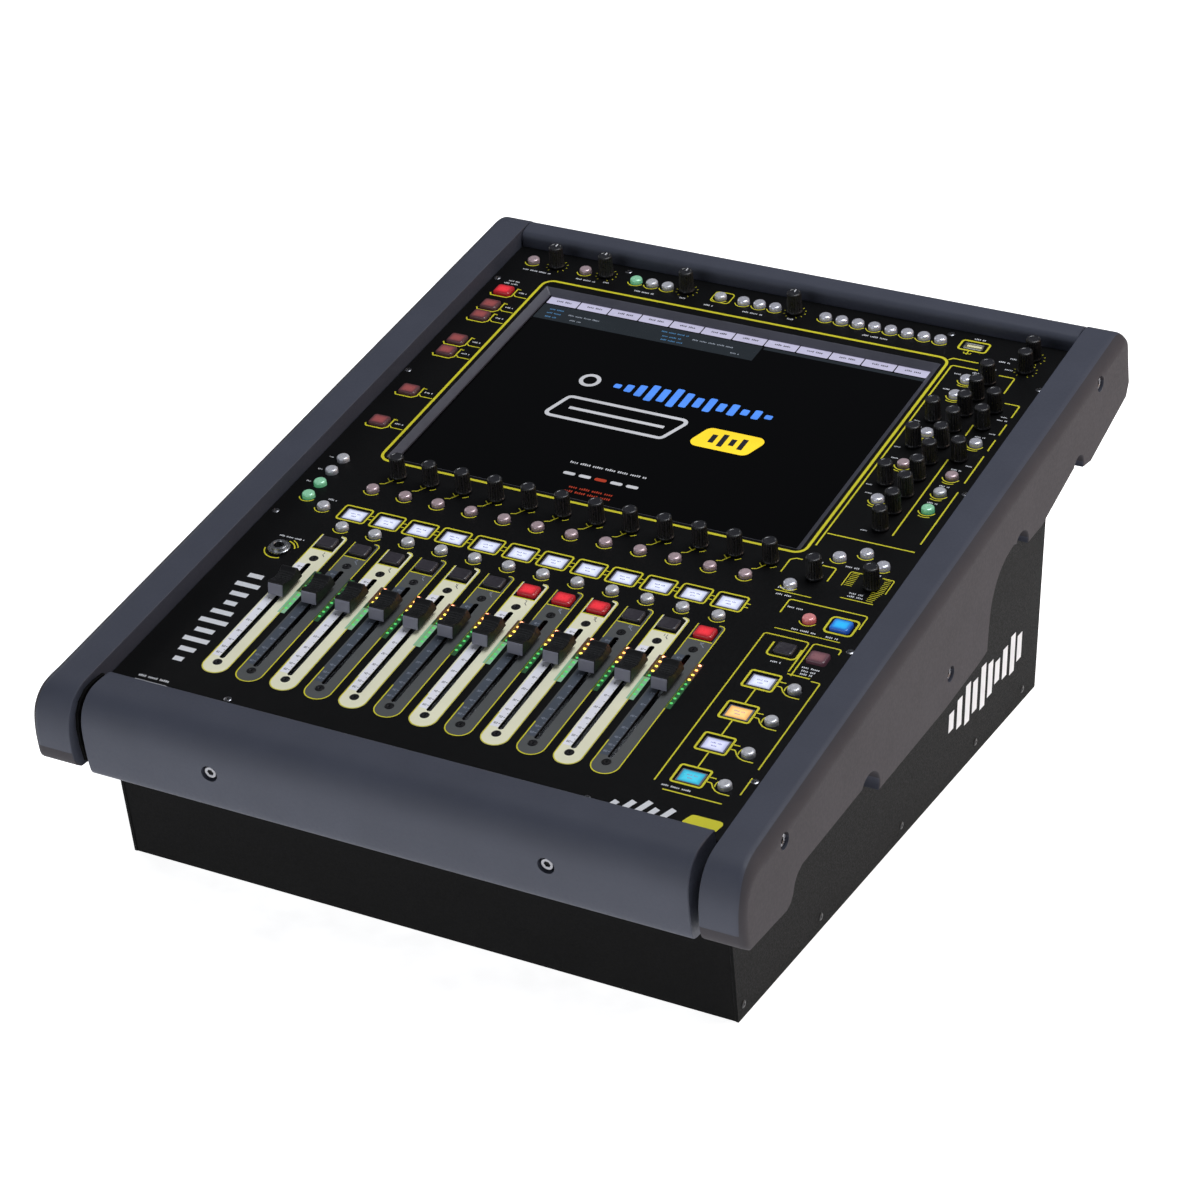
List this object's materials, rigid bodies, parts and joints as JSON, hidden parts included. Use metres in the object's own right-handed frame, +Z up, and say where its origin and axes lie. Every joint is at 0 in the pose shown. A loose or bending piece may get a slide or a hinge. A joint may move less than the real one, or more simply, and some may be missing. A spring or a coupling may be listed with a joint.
{
  "type": "digital mixing console",
  "caption": "Desk-standing audio mixing console with a sloped control panel, large screen, motor faders, rotary encoders, lit keys and a deep metal case between moulded cheeks.",
  "frame": {"origin": "centre of the overall box, on the table", "axes": "+X to the right of a person facing the faders, +Y from the front arm rest to the back, +Z up"},
  "size_m": [0.5, 0.6296, 0.2584],
  "materials": {
    "blue_grey_casting": "satin, fine grain",
    "black_steel": "satin black powder coat",
    "panel_black": "satin black with yellow and white line print",
    "control_black": "satin, ribbed",
    "key_silver": "satin translucent silver",
    "key_dark": "satin, lit from below",
    "board_green": "solder mask",
    "bare_metal": "plain",
    "bezel_grey": "satin",
    "screen_glass": "gloss"
  },
  "bodies": {
    "console": {"bottom_plate": "black_steel", "channel_control_board": "board_green", "display_bezel": "bezel_grey", "display_glass": "screen_glass", "display_module": "bare_metal", "faceplate": "panel_black", "fader_bank": "bare_metal", "front_plate": "black_steel", "front_rail": "blue_grey_casting", "headphone_socket": "bare_metal", "left_cheek": "blue_grey_casting", "left_side_plate": "black_steel", "main_board": "board_green", "mains_inlet": "control_black", "power_supply": "bare_metal", "rear_panel": "black_steel", "rear_rail": "blue_grey_casting", "rear_socket_board": "board_green", "right_cheek": "blue_grey_casting", "right_control_board": "board_green", "right_side_plate": "black_steel", "usb_socket": "bare_metal"},
    "assign_keys": {"assign_keys": "key_silver"},
    "bank_keys": {"bank_keys": "key_silver"},
    "channel_knob_01": {"channel_knob_01": "control_black"},
    "channel_knob_02": {"channel_knob_02": "control_black"},
    "channel_knob_03": {"channel_knob_03": "control_black"},
    "channel_knob_04": {"channel_knob_04": "control_black"},
    "channel_knob_05": {"channel_knob_05": "control_black"},
    "channel_knob_06": {"channel_knob_06": "control_black"},
    "channel_knob_07": {"channel_knob_07": "control_black"},
    "channel_knob_08": {"channel_knob_08": "control_black"},
    "channel_knob_09": {"channel_knob_09": "control_black"},
    "channel_knob_10": {"channel_knob_10": "control_black"},
    "channel_knob_11": {"channel_knob_11": "control_black"},
    "channel_knob_12": {"channel_knob_12": "control_black"},
    "equaliser_keys": {"equaliser_keys": "key_silver"},
    "fader_cap_01": {"fader_cap_01": "control_black"},
    "fader_cap_02": {"fader_cap_02": "control_black"},
    "fader_cap_03": {"fader_cap_03": "control_black"},
    "fader_cap_04": {"fader_cap_04": "control_black"},
    "fader_cap_05": {"fader_cap_05": "control_black"},
    "fader_cap_06": {"fader_cap_06": "control_black"},
    "fader_cap_07": {"fader_cap_07": "control_black"},
    "fader_cap_08": {"fader_cap_08": "control_black"},
    "fader_cap_09": {"fader_cap_09": "control_black"},
    "fader_cap_10": {"fader_cap_10": "control_black"},
    "fader_cap_11": {"fader_cap_11": "control_black"},
    "fader_cap_12": {"fader_cap_12": "control_black"},
    "function_keys": {"function_keys": "key_dark"},
    "headphone_level_knob": {"headphone_level_knob": "control_black"},
    "left_keys": {"left_keys": "key_dark"},
    "mute_keys": {"mute_keys": "key_dark"},
    "scroll_knob": {"scroll_knob": "control_black"},
    "select_keys": {"select_keys": "key_silver"},
    "solo_one_level_knob": {"solo_one_level_knob": "control_black"},
    "solo_two_level_knob": {"solo_two_level_knob": "control_black"},
    "talkback_level_knob": {"talkback_level_knob": "control_black"},
    "top_keys": {"top_keys": "key_silver"},
    "value_knob": {"value_knob": "control_black"}
  },
  "joints": [
    {"name": "fader_01_slide", "type": "slide", "parent": "console", "child": "fader_cap_01", "axis": [0, 0.9823, 0.1874], "range_m": [-0.0745, 0.0257]},
    {"name": "fader_02_slide", "type": "slide", "parent": "console", "child": "fader_cap_02", "axis": [0, 0.9823, 0.1874], "range_m": [-0.0745, 0.0257]},
    {"name": "fader_03_slide", "type": "slide", "parent": "console", "child": "fader_cap_03", "axis": [0, 0.9823, 0.1874], "range_m": [-0.0745, 0.0257]},
    {"name": "fader_04_slide", "type": "slide", "parent": "console", "child": "fader_cap_04", "axis": [0, 0.9823, 0.1874], "range_m": [-0.0745, 0.0257]},
    {"name": "fader_05_slide", "type": "slide", "parent": "console", "child": "fader_cap_05", "axis": [0, 0.9823, 0.1874], "range_m": [-0.0745, 0.0257]},
    {"name": "fader_06_slide", "type": "slide", "parent": "console", "child": "fader_cap_06", "axis": [0, 0.9823, 0.1874], "range_m": [-0.0745, 0.0257]},
    {"name": "fader_07_slide", "type": "slide", "parent": "console", "child": "fader_cap_07", "axis": [0, 0.9823, 0.1874], "range_m": [-0.0745, 0.0257]},
    {"name": "fader_08_slide", "type": "slide", "parent": "console", "child": "fader_cap_08", "axis": [0, 0.9823, 0.1874], "range_m": [-0.0745, 0.0257]},
    {"name": "fader_09_slide", "type": "slide", "parent": "console", "child": "fader_cap_09", "axis": [0, 0.9823, 0.1874], "range_m": [-0.0745, 0.0257]},
    {"name": "fader_10_slide", "type": "slide", "parent": "console", "child": "fader_cap_10", "axis": [0, 0.9823, 0.1874], "range_m": [-0.0745, 0.0257]},
    {"name": "fader_11_slide", "type": "slide", "parent": "console", "child": "fader_cap_11", "axis": [0, 0.9823, 0.1874], "range_m": [-0.0745, 0.0257]},
    {"name": "fader_12_slide", "type": "slide", "parent": "console", "child": "fader_cap_12", "axis": [0, 0.9823, 0.1874], "range_m": [-0.0745, 0.0257]},
    {"name": "channel_knob_01_turn", "type": "hinge", "parent": "console", "child": "channel_knob_01", "pos_m": [-0.155, -0.01267, 0.18737], "axis": [0, -0.1874, 0.9823], "continuous": true},
    {"name": "channel_knob_02_turn", "type": "hinge", "parent": "console", "child": "channel_knob_02", "pos_m": [-0.1296, -0.01267, 0.18737], "axis": [0, -0.1874, 0.9823], "continuous": true},
    {"name": "channel_knob_03_turn", "type": "hinge", "parent": "console", "child": "channel_knob_03", "pos_m": [-0.1042, -0.01267, 0.18737], "axis": [0, -0.1874, 0.9823], "continuous": true},
    {"name": "channel_knob_04_turn", "type": "hinge", "parent": "console", "child": "channel_knob_04", "pos_m": [-0.0788, -0.01267, 0.18737], "axis": [0, -0.1874, 0.9823], "continuous": true},
    {"name": "channel_knob_05_turn", "type": "hinge", "parent": "console", "child": "channel_knob_05", "pos_m": [-0.0534, -0.01267, 0.18737], "axis": [0, -0.1874, 0.9823], "continuous": true},
    {"name": "channel_knob_06_turn", "type": "hinge", "parent": "console", "child": "channel_knob_06", "pos_m": [-0.028, -0.01267, 0.18737], "axis": [0, -0.1874, 0.9823], "continuous": true},
    {"name": "channel_knob_07_turn", "type": "hinge", "parent": "console", "child": "channel_knob_07", "pos_m": [-0.0026, -0.01267, 0.18737], "axis": [0, -0.1874, 0.9823], "continuous": true},
    {"name": "channel_knob_08_turn", "type": "hinge", "parent": "console", "child": "channel_knob_08", "pos_m": [0.0228, -0.01267, 0.18737], "axis": [0, -0.1874, 0.9823], "continuous": true},
    {"name": "channel_knob_09_turn", "type": "hinge", "parent": "console", "child": "channel_knob_09", "pos_m": [0.0482, -0.01267, 0.18737], "axis": [0, -0.1874, 0.9823], "continuous": true},
    {"name": "channel_knob_10_turn", "type": "hinge", "parent": "console", "child": "channel_knob_10", "pos_m": [0.0736, -0.01267, 0.18737], "axis": [0, -0.1874, 0.9823], "continuous": true},
    {"name": "channel_knob_11_turn", "type": "hinge", "parent": "console", "child": "channel_knob_11", "pos_m": [0.099, -0.01267, 0.18737], "axis": [0, -0.1874, 0.9823], "continuous": true},
    {"name": "channel_knob_12_turn", "type": "hinge", "parent": "console", "child": "channel_knob_12", "pos_m": [0.1244, -0.01267, 0.18737], "axis": [0, -0.1874, 0.9823], "continuous": true},
    {"name": "headphone_level_knob_turn", "type": "hinge", "parent": "console", "child": "headphone_level_knob", "pos_m": [-0.181, 0.26581, 0.24049], "axis": [0, -0.1874, 0.9823], "range_deg": [-150, 150]},
    {"name": "talkback_level_knob_turn", "type": "hinge", "parent": "console", "child": "talkback_level_knob", "pos_m": [-0.1405, 0.26679, 0.24068], "axis": [0, -0.1874, 0.9823], "range_deg": [-150, 150]},
    {"name": "solo_one_level_knob_turn", "type": "hinge", "parent": "console", "child": "solo_one_level_knob", "pos_m": [-0.0745, 0.26679, 0.24068], "axis": [0, -0.1874, 0.9823], "range_deg": [-150, 150]},
    {"name": "solo_two_level_knob_turn", "type": "hinge", "parent": "console", "child": "solo_two_level_knob", "pos_m": [0.012, 0.2663, 0.24058], "axis": [0, -0.1874, 0.9823], "range_deg": [-150, 150]},
    {"name": "scroll_knob_turn", "type": "hinge", "parent": "console", "child": "scroll_knob", "pos_m": [0.1585, -0.01906, 0.18615], "axis": [0, -0.1874, 0.9823], "continuous": true},
    {"name": "value_knob_turn", "type": "hinge", "parent": "console", "child": "value_knob", "pos_m": [0.1974, -0.01611, 0.18671], "axis": [0, -0.1874, 0.9823], "continuous": true},
    {"name": "assign_keys_press", "type": "slide", "parent": "console", "child": "assign_keys", "axis": [0, 0.1874, -0.9823], "range_m": [0, 0.001], "stiffness_N_per_m": 600, "springref_m": -0.002},
    {"name": "bank_keys_press", "type": "slide", "parent": "console", "child": "bank_keys", "axis": [0, 0.1874, -0.9823], "range_m": [0, 0.001], "stiffness_N_per_m": 600, "springref_m": -0.002},
    {"name": "equaliser_keys_press", "type": "slide", "parent": "console", "child": "equaliser_keys", "axis": [0, 0.1874, -0.9823], "range_m": [0, 0.001], "stiffness_N_per_m": 600, "springref_m": -0.002},
    {"name": "function_keys_press", "type": "slide", "parent": "console", "child": "function_keys", "axis": [0, 0.1874, -0.9823], "range_m": [0, 0.001], "stiffness_N_per_m": 600, "springref_m": -0.002},
    {"name": "left_keys_press", "type": "slide", "parent": "console", "child": "left_keys", "axis": [0, 0.1874, -0.9823], "range_m": [0, 0.001], "stiffness_N_per_m": 600, "springref_m": -0.002},
    {"name": "mute_keys_press", "type": "slide", "parent": "console", "child": "mute_keys", "axis": [0, 0.1874, -0.9823], "range_m": [0, 0.001], "stiffness_N_per_m": 600, "springref_m": -0.002},
    {"name": "select_keys_press", "type": "slide", "parent": "console", "child": "select_keys", "axis": [0, 0.1874, -0.9823], "range_m": [0, 0.001], "stiffness_N_per_m": 600, "springref_m": -0.002},
    {"name": "top_keys_press", "type": "slide", "parent": "console", "child": "top_keys", "axis": [0, 0.1874, -0.9823], "range_m": [0, 0.001], "stiffness_N_per_m": 600, "springref_m": -0.002}
  ]
}
